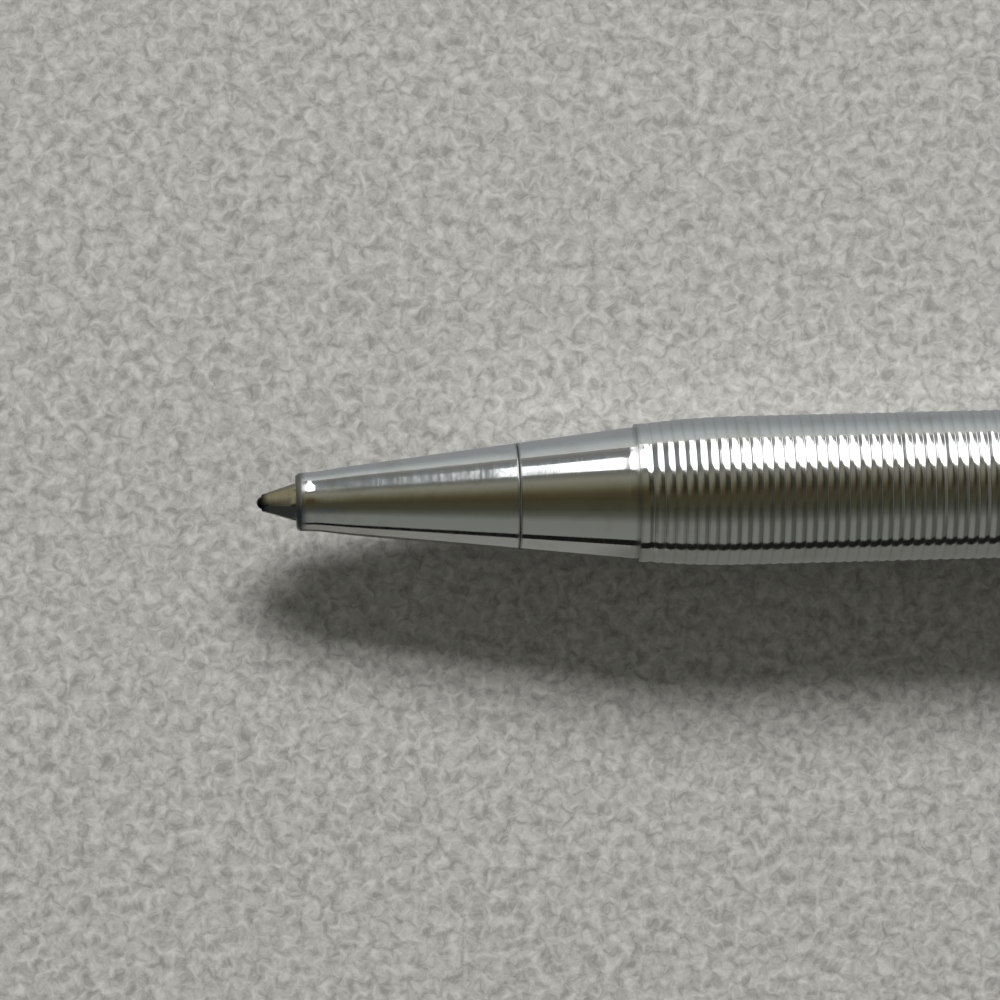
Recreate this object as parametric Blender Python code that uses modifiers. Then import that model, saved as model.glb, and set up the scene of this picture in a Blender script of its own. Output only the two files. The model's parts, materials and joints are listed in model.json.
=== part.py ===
"""Twist ballpoint pen with a ring-turned metal barrel, point extended, lying on its barrel and clip.

Run with: blender --background --python part.py

Every piece is drawn in the pen's own frame: x runs along the pen from the writing ball (0) to the
finial, z points through the middle of the clip. The whole pen hangs from one empty, which rolls it
onto its clip and puts the bottom centre of its box at the world origin, with +X towards the finial.
"""

import math

import bmesh
import bpy
from mathutils import Matrix, Vector

MM = 0.001

# Driving dimensions, in millimetres along the pen (x) and as radii
PEN_LENGTH = 137.0
BARREL_RADIUS = 4.70
NOSE_MOUTH_X = 2.44
NOSE_MOUTH_RADIUS = 1.78
NOSE_SEAM_X = 16.20
CONE_RISE = 0.1125
RINGS_START_X = 23.70
SHOULDER_START_X = 25.50
SHOULDER_CURVE_RADIUS = 43.0
TWIST_SEAM_X = 68.0
RING_PITCH = 0.68
RING_DEPTH = 0.05

# Twist mechanism: half a turn of the cap draws the refill in by this much
REFILL_TRAVEL = 5.0
TWIST_TURN = math.pi
PUSH_PIN_X = 109.5
PUSH_PIN_RADIUS = 0.70

# Fits between neighbouring pieces
SEAM_GAP = 0.10
SEAT_GAP = 0.10
RUNNING_GAP = 0.075
EDGE_BREAK = 0.06

# Facets round a turned piece and round a pin
ROUND = 20
PIN_ROUND = 16
BALL_ROUND = 12
BALL_RINGS = 8
COIL_ROUND = 10
SMALL_COIL_ROUND = 8

# Barrel and cap walls
RING_PROUD = 0.06
BARREL_BORE = 3.95
NOSE_THREAD_BORE = 2.85
RINGS_END_X = 66.40
CENTRE_RING_RADIUS = 4.80
CENTRE_RING_END_X = 70.50
CAP_START_X = 70.80
CAP_RINGS_START_X = 72.40
CAP_RINGS_END_X = 86.70
CAP_TAPER_X = 118.0
CAP_END_X = 133.30
CAP_BORE = 4.10
CAP_TOP_RADIUS = 4.55

# Refill
BALL_RADIUS = 0.40
POINT_RADIUS = 1.175
POINT_CONE_END_X = 2.60
TUBE_RADIUS = 1.60
TUBE_WALL = 0.35
TUBE_START_X = 9.0
TUBE_END_X = 106.8
SPRING_SEAT_X = 13.50
SPRING_STOP_X = 24.30
SPRING_WIRE = 0.40
SPRING_RADIUS = 2.05
SPRING_TURNS = 8

# Guide tube of the twist mechanism
GUIDE_RADIUS = 3.50
GUIDE_BORE = 2.95
GUIDE_START_X = 60.0
GUIDE_END_X = 118.6
COLLAR_X = 70.60
COLLAR_WIDTH = 1.0
COLLAR_RADIUS = 4.0
RETAINER_GROOVE_X = 117.2
RETAINER_GROOVE_WIDTH = 0.70
RETAINER_GROOVE_DEPTH = 0.25
PLUNGER_START_X = 100.5
PLUNGER_END_X = 112.0

# Bushes and cam that carry and turn it
BARREL_BUSH_X = 58.0
CAP_BUSH_X = 72.0
CAP_BUSH_LENGTH = 6.0
CAM_START_X = 104.0
CAM_END_X = 117.0
CAM_RUNNING_GAP = 0.125

# Clip and its pivot
CLIP_WIDTH = 2.80
CLIP_TIP_WIDTH = 2.10
CLIP_TIP_X = 87.6
CLIP_OUTER_Z = 7.0
CLIP_ARM_Z = 6.0
CLIP_EDGE = 0.25
CLIP_PIVOT_X = 126.5
CLIP_PIVOT_Z = 2.30
CLIP_PIN_RADIUS = 0.50
CLIP_NECK_FRONT_X = 125.3
CLIP_NECK_REAR_X = 127.7
CLIP_TAIL_END_X = 131.2
CLIP_PIN_LENGTH = 5.2
CLIP_SPRING_X = 130.0
CLIP_SPRING_FOOT_Z = -1.80
CLIP_SPRING_HEIGHT = 2.80
CLIP_SPRING_WIRE = 0.28
CLIP_SPRING_RADIUS = 0.75
CLIP_SPRING_TURNS = 4
CLIP_PLAY = 0.65
HOUSING_RADIUS = 4.0
HOUSING_START_X = 120.5
STUD_START_X = 133.40
STUD_END_X = 135.60
STUD_RADIUS = 2.50

# Finial
FINIAL_GAP = 0.25
FINIAL_RADIUS = 4.40
FINIAL_FLAT_RADIUS = 2.40
FINIAL_DOME_X = 134.30
FINIAL_DOME_STEPS = 4

# How the pen lies: the clip points to the front and down until its edge meets the table
AXIS_HEIGHT = CENTRE_RING_RADIUS
CLIP_DROP = math.radians(31.8)
ROLL = math.pi / 2 + CLIP_DROP
EDGE_Z = CLIP_OUTER_Z - CLIP_EDGE
EDGE_Y = CLIP_WIDTH / 2 - CLIP_EDGE
CLIP_REACH = EDGE_Z * math.cos(CLIP_DROP) + EDGE_Y * math.sin(CLIP_DROP) + CLIP_EDGE
AXIS_OFFSET = (CLIP_REACH - CENTRE_RING_RADIUS) / 2


# Scene, collections and materials


def clear_scene():
    for obj in list(bpy.data.objects):
        bpy.data.objects.remove(obj)


def new_collection(name, shown):
    collection = bpy.data.collections.new(name)
    collection.hide_render = not shown
    bpy.context.scene.collection.children.link(collection)
    return collection


def metal_or_plastic(name, colour, roughness, metallic):
    made = bpy.data.materials.new(name)
    made.use_nodes = True
    shader = made.node_tree.nodes["Principled BSDF"]
    shader.inputs["Base Color"].default_value = (*colour, 1.0)
    shader.inputs["Roughness"].default_value = roughness
    shader.inputs["Metallic"].default_value = metallic
    return made


clear_scene()
PARTS = new_collection("twist_ballpoint_pen", shown=True)
CUTTERS = new_collection("cutters", shown=False)

SILVER = metal_or_plastic("polished_silver_plate", (0.76, 0.75, 0.72), 0.12, 1.0)
BRASS = metal_or_plastic("turned_brass", (0.72, 0.53, 0.25), 0.30, 1.0)
NICKEL_SILVER = metal_or_plastic("nickel_silver_point", (0.58, 0.52, 0.40), 0.28, 1.0)
STEEL = metal_or_plastic("spring_steel", (0.55, 0.55, 0.56), 0.25, 1.0)
CARBIDE = metal_or_plastic("carbide_ball", (0.10, 0.10, 0.11), 0.30, 1.0)
NYLON = metal_or_plastic("black_nylon", (0.03, 0.03, 0.03), 0.50, 0.0)
ACETAL = metal_or_plastic("white_acetal", (0.80, 0.79, 0.75), 0.45, 0.0)

PEN = bpy.data.objects.new("pen_axis", None)
PEN.location = (-PEN_LENGTH / 2 * MM, AXIS_OFFSET * MM, AXIS_HEIGHT * MM)
PEN.rotation_euler = (ROLL, 0.0, 0.0)
PARTS.objects.link(PEN)


# Shared modelling steps


def place(name, mesh, material):
    """Puts a finished mesh on the pen as one named piece."""
    piece = bpy.data.objects.new(name, mesh)
    piece.parent = PEN
    PARTS.objects.link(piece)
    mesh.materials.append(material)
    return piece


def place_cutter(name, mesh):
    cutter = bpy.data.objects.new(name, mesh)
    cutter.parent = PEN
    cutter.hide_render = True
    cutter.display_type = "WIRE"
    CUTTERS.objects.link(cutter)
    return cutter


def mesh_from(name, bm):
    mesh = bpy.data.meshes.new(name)
    bmesh.ops.recalc_face_normals(bm, faces=bm.faces)
    bm.to_mesh(mesh)
    bm.free()
    return mesh


def turned(name, outline, material, facets=ROUND):
    """A lathe-turned piece: outline is (x, radius) points round the section, in millimetres.

    A section that starts and ends on the axis is left open there, so that the axis closes it.
    """
    on_axis = outline[0][1] == 0 and outline[-1][1] == 0
    area = sum(x0 * r1 - x1 * r0 for (x0, r0), (x1, r1) in zip(outline, outline[1:] + outline[:1]))
    points = outline if area > 0 else outline[::-1]
    corners = [(x * MM, 0.0, r * MM) for x, r in points]
    edges = [(i, i + 1) for i in range(len(points) - 1)]
    if not on_axis:
        edges.append((len(points) - 1, 0))
    mesh = bpy.data.meshes.new(name)
    mesh.from_pydata(corners, edges, [])
    piece = place(name, mesh, material)
    lathe = piece.modifiers.new("lathe", "SCREW")
    lathe.axis = "X"
    lathe.steps = lathe.render_steps = facets
    lathe.use_merge_vertices = True
    lathe.merge_threshold = 1e-6
    lathe.use_smooth_shade = True
    return piece


def rod(radius, length, centre, along, facets=PIN_ROUND):
    """A round bar as a bmesh, centred at a point and lying along Y or Z."""
    bm = bmesh.new()
    bmesh.ops.create_cone(
        bm, cap_ends=True, segments=facets, radius1=radius * MM, radius2=radius * MM, depth=length * MM
    )
    if along == "Y":
        bmesh.ops.rotate(bm, verts=bm.verts, matrix=Matrix.Rotation(math.pi / 2, 3, "X"))
    bmesh.ops.translate(bm, verts=bm.verts, vec=Vector(centre) * MM)
    return bm


def block(low, high):
    """A rectangular block as a bmesh, from its lowest to its highest corner."""
    low, high = Vector(low), Vector(high)
    bm = bmesh.new()
    bmesh.ops.create_cube(bm, size=1.0)
    bmesh.ops.scale(bm, verts=bm.verts, vec=(high - low) * MM)
    bmesh.ops.translate(bm, verts=bm.verts, vec=(low + high) / 2 * MM)
    return bm


def carve(piece, bm, what):
    """Cuts a shape out of a piece."""
    cut = piece.modifiers.new(what, "BOOLEAN")
    cut.operation = "DIFFERENCE"
    cut.object = place_cutter(f"{piece.name}_{what}", mesh_from(what, bm))


def arc(centre, radius, start, end, count):
    """Points round a circle in the (x, radius) plane, from one angle to another, ends included."""
    angles = [start + (end - start) * i / (count - 1) for i in range(count)]
    return [(centre[0] + radius * math.cos(a), centre[1] + radius * math.sin(a)) for a in angles]


def tube(x0, x1, bore, radius):
    """Section of a plain tube."""
    return [(x0, bore), (x0, radius), (x1, radius), (x1, bore)]


# Outside shape of the nose and the barrel


def cone_radius(x):
    """The straight taper that the nose and the front of the barrel share."""
    return NOSE_MOUTH_RADIUS + CONE_RISE * (x - NOSE_MOUTH_X)


SHOULDER_END_X = SHOULDER_START_X + SHOULDER_CURVE_RADIUS * math.sin(math.atan(CONE_RISE))


def ringed_radius(x):
    """Crown of the turned rings: the taper, a long shoulder curve, then the plain cylinder."""
    if x < SHOULDER_START_X:
        return cone_radius(x) + RING_PROUD
    if x > SHOULDER_END_X:
        return BARREL_RADIUS
    drop = SHOULDER_CURVE_RADIUS - math.sqrt(SHOULDER_CURVE_RADIUS**2 - (SHOULDER_END_X - x) ** 2)
    return BARREL_RADIUS - drop


def ring_outline(start_x, end_x, crown_radius):
    """Section of the turned rings: a groove, then a crown, for each ring, and a last groove."""
    count = round((end_x - start_x) / RING_PITCH)
    pitch = (end_x - start_x) / count
    points = []
    for i in range(count):
        groove_x = start_x + i * pitch
        crown_x = groove_x + pitch / 2
        points += [(groove_x, crown_radius(groove_x) - RING_DEPTH), (crown_x, crown_radius(crown_x))]
    return [*points, (end_x, crown_radius(end_x) - RING_DEPTH)]


# Lower half: nose, barrel and what is fixed in it


def make_nose_cone():
    rim = 0.22
    spring_bore = 2.35
    tube_bore = 1.75
    point_bore = POINT_RADIUS + RUNNING_GAP
    tube_bore_start_x = 7.50
    spigot_end_x = 22.0
    spigot_radius = NOSE_THREAD_BORE - SEAT_GAP
    rounded_rim = arc((NOSE_MOUTH_X + rim, NOSE_MOUTH_RADIUS - rim), rim, math.pi, math.pi / 2, 4)
    turned(
        "nose_cone",
        [
            (NOSE_MOUTH_X, point_bore),
            *rounded_rim,
            (NOSE_SEAM_X - EDGE_BREAK, cone_radius(NOSE_SEAM_X)),
            (NOSE_SEAM_X, cone_radius(NOSE_SEAM_X) - EDGE_BREAK),
            (NOSE_SEAM_X, spigot_radius),
            (spigot_end_x, spigot_radius),
            (spigot_end_x, spring_bore),
            (SPRING_SEAT_X, spring_bore),
            (SPRING_SEAT_X, tube_bore),
            (tube_bore_start_x, tube_bore),
            (tube_bore_start_x - (tube_bore - point_bore), point_bore),
        ],
        SILVER,
    )


def make_barrel_sleeve():
    front_x = NOSE_SEAM_X + SEAM_GAP
    front_radius = cone_radius(front_x)
    bore_taper = (25.0, 27.5)
    turned(
        "barrel_sleeve",
        [
            (front_x, NOSE_THREAD_BORE),
            (front_x, front_radius - EDGE_BREAK),
            (front_x + EDGE_BREAK, front_radius),
            (RINGS_START_X - RING_DEPTH, cone_radius(RINGS_START_X)),
            *ring_outline(RINGS_START_X, RINGS_END_X, ringed_radius),
            (RINGS_END_X + RING_DEPTH, BARREL_RADIUS),
            (TWIST_SEAM_X - EDGE_BREAK, BARREL_RADIUS),
            (TWIST_SEAM_X, BARREL_RADIUS - EDGE_BREAK),
            (TWIST_SEAM_X, BARREL_BORE),
            (bore_taper[1], BARREL_BORE),
            (bore_taper[0], NOSE_THREAD_BORE),
        ],
        SILVER,
    )


def make_barrel_bush():
    turned(
        "barrel_bush",
        tube(BARREL_BUSH_X, TWIST_SEAM_X, GUIDE_RADIUS + RUNNING_GAP, BARREL_BORE - SEAT_GAP),
        BRASS,
    )


def make_centre_ring():
    start_x = TWIST_SEAM_X + SEAM_GAP
    crown = CENTRE_RING_RADIUS - BARREL_RADIUS
    turned(
        "centre_ring",
        [
            (start_x, GUIDE_RADIUS + SEAT_GAP),
            (start_x, BARREL_RADIUS - crown),
            (start_x + crown, CENTRE_RING_RADIUS),
            (CENTRE_RING_END_X - crown, CENTRE_RING_RADIUS),
            (CENTRE_RING_END_X, BARREL_RADIUS - crown),
            (CENTRE_RING_END_X, GUIDE_RADIUS + SEAT_GAP),
        ],
        SILVER,
    )


def make_guide_tube():
    groove_end_x = RETAINER_GROOVE_X + RETAINER_GROOVE_WIDTH
    groove_radius = GUIDE_RADIUS - RETAINER_GROOVE_DEPTH
    guide = turned(
        "guide_tube",
        [
            (GUIDE_START_X, GUIDE_BORE),
            (GUIDE_START_X, GUIDE_RADIUS),
            (COLLAR_X, GUIDE_RADIUS),
            (COLLAR_X, COLLAR_RADIUS),
            (COLLAR_X + COLLAR_WIDTH, COLLAR_RADIUS),
            (COLLAR_X + COLLAR_WIDTH, GUIDE_RADIUS),
            (RETAINER_GROOVE_X, GUIDE_RADIUS),
            (RETAINER_GROOVE_X, groove_radius),
            (groove_end_x, groove_radius),
            (groove_end_x, GUIDE_RADIUS),
            (GUIDE_END_X, GUIDE_RADIUS),
            (GUIDE_END_X, GUIDE_BORE),
        ],
        BRASS,
    )
    # One block cuts both straight slots, in which the ends of the push pin slide without turning
    side_gap, end_gap, overshoot = 0.15, 0.25, 1.0
    side = PUSH_PIN_RADIUS + side_gap
    end = PUSH_PIN_RADIUS + end_gap
    reach = GUIDE_RADIUS + overshoot
    carve(
        guide,
        block(
            (PUSH_PIN_X - end, -reach, -side),
            (PUSH_PIN_X + REFILL_TRAVEL + end, reach, side),
        ),
        "pin_slots",
    )


def make_retaining_ring():
    play = 0.10
    bore_gap, wall_gap = 0.07, 0.15
    half_opening = 0.8
    start_x = RETAINER_GROOVE_X + play
    end_x = RETAINER_GROOVE_X + RETAINER_GROOVE_WIDTH - play
    bore = GUIDE_RADIUS - RETAINER_GROOVE_DEPTH + bore_gap
    ring = turned("retaining_ring", tube(start_x, end_x, bore, CAP_BORE - wall_gap), STEEL)
    low = (start_x - play, -half_opening, bore / 2)
    high = (end_x + play, half_opening, CAP_BORE)
    carve(ring, block(low, high), "opening")


def make_thrust_washer():
    play = 0.08
    thickness = 0.24
    start_x = COLLAR_X + COLLAR_WIDTH + play
    section = tube(start_x, start_x + thickness, GUIDE_RADIUS + SEAT_GAP, COLLAR_RADIUS - EDGE_BREAK)
    turned("thrust_washer", section, NYLON)


# Refill and the pieces that push it


def make_writing_ball():
    bm = bmesh.new()
    bmesh.ops.create_uvsphere(bm, u_segments=BALL_ROUND, v_segments=BALL_RINGS, radius=BALL_RADIUS * MM)
    bmesh.ops.translate(bm, verts=bm.verts, vec=(BALL_RADIUS * MM, 0, 0))
    ball = place("writing_ball", mesh_from("writing_ball", bm), CARBIDE)
    ball.data.shade_smooth()


def make_refill_point():
    lip_x = 0.32
    lip_radius = 0.48
    socket_gap = 0.05
    ink_channel = 0.22
    shoulder_x = TUBE_START_X - SEAT_GAP
    spigot_radius = TUBE_RADIUS - TUBE_WALL - SEAT_GAP
    spigot_end_x = TUBE_START_X + 4.0
    socket = arc((BALL_RADIUS, 0), BALL_RADIUS + socket_gap, math.radians(25), math.radians(100), 4)
    turned(
        "refill_point",
        [
            *socket,
            (lip_x, lip_radius),
            (POINT_CONE_END_X, POINT_RADIUS),
            (shoulder_x, POINT_RADIUS),
            (shoulder_x, spigot_radius),
            (spigot_end_x, spigot_radius),
            (spigot_end_x, ink_channel),
        ],
        NICKEL_SILVER,
        PIN_ROUND,
    )


def make_refill_tube():
    bore = TUBE_RADIUS - TUBE_WALL
    stop_radius = 2.20
    stop_width = 0.9
    lead_in = (0.3, 0.2)
    turned(
        "refill_tube",
        [
            (TUBE_START_X, bore),
            (TUBE_START_X, TUBE_RADIUS - lead_in[1]),
            (TUBE_START_X + lead_in[0], TUBE_RADIUS),
            (SPRING_STOP_X, TUBE_RADIUS),
            (SPRING_STOP_X, stop_radius),
            (SPRING_STOP_X + stop_width / 2, stop_radius),
            (SPRING_STOP_X + stop_width, TUBE_RADIUS),
            (TUBE_END_X, TUBE_RADIUS),
            (TUBE_END_X, bore),
        ],
        STEEL,
        PIN_ROUND,
    )


def make_plunger():
    cup_bore = TUBE_RADIUS + SEAT_GAP
    cup_floor_x = TUBE_END_X + SEAT_GAP
    radius = GUIDE_BORE - 0.15
    front_bevel, rear_bevel = 0.3, 0.5
    pin_gap = 0.05
    plunger = turned(
        "plunger",
        [
            (cup_floor_x, 0),
            (cup_floor_x, cup_bore),
            (PLUNGER_START_X, cup_bore),
            (PLUNGER_START_X, radius - front_bevel),
            (PLUNGER_START_X + front_bevel, radius),
            (PLUNGER_END_X - rear_bevel, radius),
            (PLUNGER_END_X, radius - rear_bevel),
            (PLUNGER_END_X, 0),
        ],
        ACETAL,
    )
    carve(plunger, rod(PUSH_PIN_RADIUS + pin_gap, 3 * radius, (PUSH_PIN_X, 0, 0), "Y"), "pin_hole")


def make_push_pin():
    end_gap = 0.20
    bm = rod(PUSH_PIN_RADIUS, 2 * (CAP_BORE - end_gap), (PUSH_PIN_X, 0, 0), "Y")
    place("push_pin", mesh_from("push_pin", bm), STEEL)


# Springs


def coil_points(turns, per_turn, radius, start, length):
    """Centre line of a spring along +X: (x, y, z) in millimetres, from a formula."""
    count = turns * per_turn
    points = []
    for i in range(count + 1):
        angle = 2 * math.pi * i / per_turn
        x = start + length * i / count
        points.append((x, radius * math.cos(angle), radius * math.sin(angle)))
    return points


def least_gap(points, per_turn, wire):
    """Smallest clear distance between one turn of a spring and the next, in millimetres."""
    gaps = [math.dist(a, b) - wire for a, b in zip(points, points[per_turn:])]
    return min(gaps)


def wound(name, points, wire, material):
    """A spring as a round wire along its centre line, with closed ends."""
    path = bpy.data.curves.new(name, "CURVE")
    path.dimensions = "3D"
    path.bevel_depth = wire / 2 * MM
    path.bevel_resolution = 1
    path.use_fill_caps = True
    spline = path.splines.new("POLY")
    spline.points.add(len(points) - 1)
    for knot, point in zip(spline.points, points):
        knot.co = (*[value * MM for value in point], 1.0)
    spring = bpy.data.objects.new(name, path)
    spring.parent = PEN
    PARTS.objects.link(spring)
    path.materials.append(material)
    return spring


def make_return_spring():
    start_x = SPRING_SEAT_X + SEAT_GAP + SPRING_WIRE / 2
    end_x = SPRING_STOP_X - SEAT_GAP - SPRING_WIRE / 2
    points = coil_points(SPRING_TURNS, COIL_ROUND, SPRING_RADIUS, start_x, end_x - start_x)
    wound("return_spring", points, SPRING_WIRE, STEEL)
    print(f"return_spring least gap {least_gap(points, COIL_ROUND, SPRING_WIRE):.2f} mm")


def make_clip_spring():
    upright = coil_points(
        CLIP_SPRING_TURNS, SMALL_COIL_ROUND, CLIP_SPRING_RADIUS, CLIP_SPRING_FOOT_Z, CLIP_SPRING_HEIGHT
    )
    points = [(CLIP_SPRING_X + y, z, x) for x, y, z in upright]
    wound("clip_spring", points, CLIP_SPRING_WIRE, STEEL)
    print(f"clip_spring least gap {least_gap(points, SMALL_COIL_ROUND, CLIP_SPRING_WIRE):.2f} mm")


# Upper half: cap, cam and top


def make_cap_sleeve():
    sleeve = turned(
        "cap_sleeve",
        [
            (CAP_START_X, CAP_BORE),
            (CAP_START_X, BARREL_RADIUS - EDGE_BREAK),
            (CAP_START_X + EDGE_BREAK, BARREL_RADIUS),
            (CAP_RINGS_START_X - RING_DEPTH, BARREL_RADIUS),
            *ring_outline(CAP_RINGS_START_X, CAP_RINGS_END_X, ringed_radius),
            (CAP_RINGS_END_X + RING_DEPTH, BARREL_RADIUS),
            (CAP_TAPER_X, BARREL_RADIUS),
            (CAP_END_X - EDGE_BREAK, CAP_TOP_RADIUS),
            (CAP_END_X, CAP_TOP_RADIUS - EDGE_BREAK),
            (CAP_END_X, CAP_BORE),
        ],
        SILVER,
    )
    side_gap = 0.25
    half_width = CLIP_WIDTH / 2 + side_gap
    low = (CLIP_NECK_FRONT_X - CLIP_PLAY, -half_width, CAP_BORE / 2)
    high = (CLIP_NECK_REAR_X + CLIP_PLAY, half_width, CLIP_OUTER_Z)
    carve(sleeve, block(low, high), "clip_window")


def make_cap_bush():
    end_x = CAP_BUSH_X + CAP_BUSH_LENGTH
    turned("cap_bush", tube(CAP_BUSH_X, end_x, GUIDE_RADIUS + RUNNING_GAP, CAP_BORE - SEAT_GAP), BRASS)


def helical_slot(start_angle):
    """The path that the push pin sweeps as the cam turns round it, as a closed bmesh."""
    half_width = 0.90
    overrun = math.radians(15)
    steps = 18
    rise = REFILL_TRAVEL / TWIST_TURN
    overshoot = 0.4
    inner, outer = GUIDE_RADIUS - overshoot, HOUSING_RADIUS + overshoot
    section = [(-half_width, inner), (half_width, inner), (half_width, outer), (-half_width, outer)]
    bm = bmesh.new()
    frames = []
    for i in range(steps + 1):
        turn = -overrun + (TWIST_TURN + 2 * overrun) * i / steps
        angle = start_angle - turn
        side, up = math.cos(angle), math.sin(angle)
        centre_x = PUSH_PIN_X + rise * turn
        corners = [((centre_x + x) * MM, r * side * MM, r * up * MM) for x, r in section]
        frames.append([bm.verts.new(corner) for corner in corners])
    for here, there in zip(frames, frames[1:]):
        for k in range(4):
            bm.faces.new((here[k], here[k - 1], there[k - 1], there[k]))
    bm.faces.new(frames[0])
    bm.faces.new(frames[-1])
    return bm


def make_cam_sleeve():
    section = tube(CAM_START_X, CAM_END_X, GUIDE_RADIUS + CAM_RUNNING_GAP, HOUSING_RADIUS)
    cam = turned("cam_sleeve", section, BRASS)
    for side, angle in (("near", 0.0), ("far", math.pi)):
        carve(cam, helical_slot(angle), f"{side}_slot")


def make_clip_housing():
    bevel = 0.3
    housing = turned(
        "clip_housing",
        [
            (HOUSING_START_X, 0),
            (HOUSING_START_X, HOUSING_RADIUS - bevel),
            (HOUSING_START_X + bevel, HOUSING_RADIUS),
            (STUD_START_X, HOUSING_RADIUS),
            (STUD_START_X, STUD_RADIUS),
            (STUD_END_X, STUD_RADIUS),
            (STUD_END_X, 0),
        ],
        BRASS,
    )
    side_gap = 0.20
    half_width = CLIP_WIDTH / 2 + side_gap
    slot_floor_z = 0.60
    low = (CLIP_NECK_FRONT_X - CLIP_PLAY, -half_width, slot_floor_z)
    high = (CLIP_TAIL_END_X + CLIP_PLAY, half_width, CLIP_OUTER_Z)
    carve(housing, block(low, high), "clip_slot")
    pocket_depth, pocket_radius, overshoot = 2.65, 1.15, 0.5
    pocket_middle_z = slot_floor_z + overshoot - pocket_depth / 2
    pocket = rod(pocket_radius, pocket_depth + 2 * overshoot, (CLIP_SPRING_X, 0, pocket_middle_z), "Z")
    carve(housing, pocket, "spring_pocket")
    pin_gap = 0.05
    pivot = (CLIP_PIVOT_X, 0, CLIP_PIVOT_Z)
    carve(housing, rod(CLIP_PIN_RADIUS + pin_gap, 3 * HOUSING_RADIUS, pivot, "Y"), "pin_hole")


def make_clip_pin():
    bm = rod(CLIP_PIN_RADIUS, CLIP_PIN_LENGTH, (CLIP_PIVOT_X, 0, CLIP_PIVOT_Z), "Y")
    place("clip_pin", mesh_from("clip_pin", bm), STEEL)


def make_finial():
    start_x = CAP_END_X + FINIAL_GAP
    bore = STUD_RADIUS + SEAT_GAP
    bore_end_x = STUD_END_X + 2 * SEAT_GAP
    bevel = 0.15
    dome = []
    for i in range(FINIAL_DOME_STEPS + 1):
        turn = math.pi / 2 * i / FINIAL_DOME_STEPS
        x = FINIAL_DOME_X + (PEN_LENGTH - FINIAL_DOME_X) * math.sin(turn)
        dome.append((x, FINIAL_FLAT_RADIUS + (FINIAL_RADIUS - FINIAL_FLAT_RADIUS) * math.cos(turn)))
    turned(
        "finial",
        [
            (bore_end_x, 0),
            (bore_end_x, bore),
            (start_x, bore),
            (start_x, FINIAL_RADIUS - bevel),
            *dome,
            (PEN_LENGTH, 0),
        ],
        SILVER,
    )


def bend(start, corner, end, steps):
    """Points of a smooth bend that leans into a corner: a quadratic curve, its start left out."""
    points = []
    for i in range(1, steps + 1):
        t = i / steps
        shares = ((1 - t) ** 2, 2 * t * (1 - t), t**2)
        points.append(tuple(sum(w * p[k] for w, p in zip(shares, (start, corner, end))) for k in (0, 1)))
    return points


def clip_outline():
    """Side view of the clip as (x, z): underside from tip to neck, tail, then back along the top."""
    tip = (CLIP_TIP_X, 5.95)
    bead = (89.6, 4.90)
    bead_end = (92.6, 5.75)
    arm_end = (123.4, CLIP_ARM_Z)
    neck_top = (CLIP_NECK_FRONT_X, 4.60)
    shoulder = (CLIP_NECK_REAR_X, 5.30)
    top_end = (125.2, CLIP_OUTER_Z)
    top_start = (105.0, 6.95)
    return [
        tip,
        *bend(tip, (88.2, bead[1]), bead, 3),
        *bend(bead, (91.0, bead[1]), bead_end, 3),
        (106.0, CLIP_ARM_Z),
        arm_end,
        *bend(arm_end, (CLIP_NECK_FRONT_X, CLIP_ARM_Z), neck_top, 3),
        (CLIP_NECK_FRONT_X, 1.70),
        (125.9, 1.20),
        (CLIP_TAIL_END_X, 1.25),
        (CLIP_TAIL_END_X, 2.90),
        (128.2, 3.10),
        (CLIP_NECK_REAR_X, 4.00),
        shoulder,
        *bend(shoulder, (CLIP_NECK_REAR_X, CLIP_OUTER_Z), top_end, 4),
        top_start,
        *bend(top_start, (91.0, 6.80), tip, 4)[:-1],
    ]


def make_clip():
    """One stamped clip: bead at the tip, long arm, neck through the cap wall, tail on its spring."""
    pivot = Vector((CLIP_PIVOT_X, 0, CLIP_PIVOT_Z))
    half_width = Vector((0, CLIP_WIDTH / 2, 0))
    bm = bmesh.new()
    corners = [(Vector((x, 0, z)) - half_width - pivot) * MM for x, z in clip_outline()]
    side = bm.faces.new([bm.verts.new(corner) for corner in corners])
    drawn = bmesh.ops.extrude_face_region(bm, geom=[side])
    far = [v for v in drawn["geom"] if isinstance(v, bmesh.types.BMVert)]
    bmesh.ops.translate(bm, verts=far, vec=2 * half_width * MM)
    arm_length = (CLIP_PIVOT_X - CLIP_TIP_X) * MM
    for v in bm.verts:
        along = max(0.0, -v.co.x / arm_length)
        v.co.y *= 1 + along * (CLIP_TIP_WIDTH / CLIP_WIDTH - 1)
    clip = place("clip", mesh_from("clip", bm), SILVER)
    clip.location = pivot * MM
    soft = clip.modifiers.new("soft_edges", "BEVEL")
    soft.width = CLIP_EDGE * MM
    soft.segments = 2
    soft.limit_method = "ANGLE"
    soft.angle_limit = math.radians(60)
    pin_gap = 0.06
    carve(clip, rod(CLIP_PIN_RADIUS + pin_gap, 2 * CLIP_WIDTH, pivot, "Y"), "pin_hole")


for make in (
    make_nose_cone,
    make_barrel_sleeve,
    make_barrel_bush,
    make_centre_ring,
    make_guide_tube,
    make_retaining_ring,
    make_thrust_washer,
    make_writing_ball,
    make_refill_point,
    make_refill_tube,
    make_plunger,
    make_push_pin,
    make_return_spring,
    make_cap_sleeve,
    make_cap_bush,
    make_cam_sleeve,
    make_clip_housing,
    make_clip_pin,
    make_clip_spring,
    make_finial,
    make_clip,
):
    make()
bpy.context.view_layer.update()
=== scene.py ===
import json
import math

import bmesh
import bpy
from mathutils import Matrix, Vector


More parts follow.
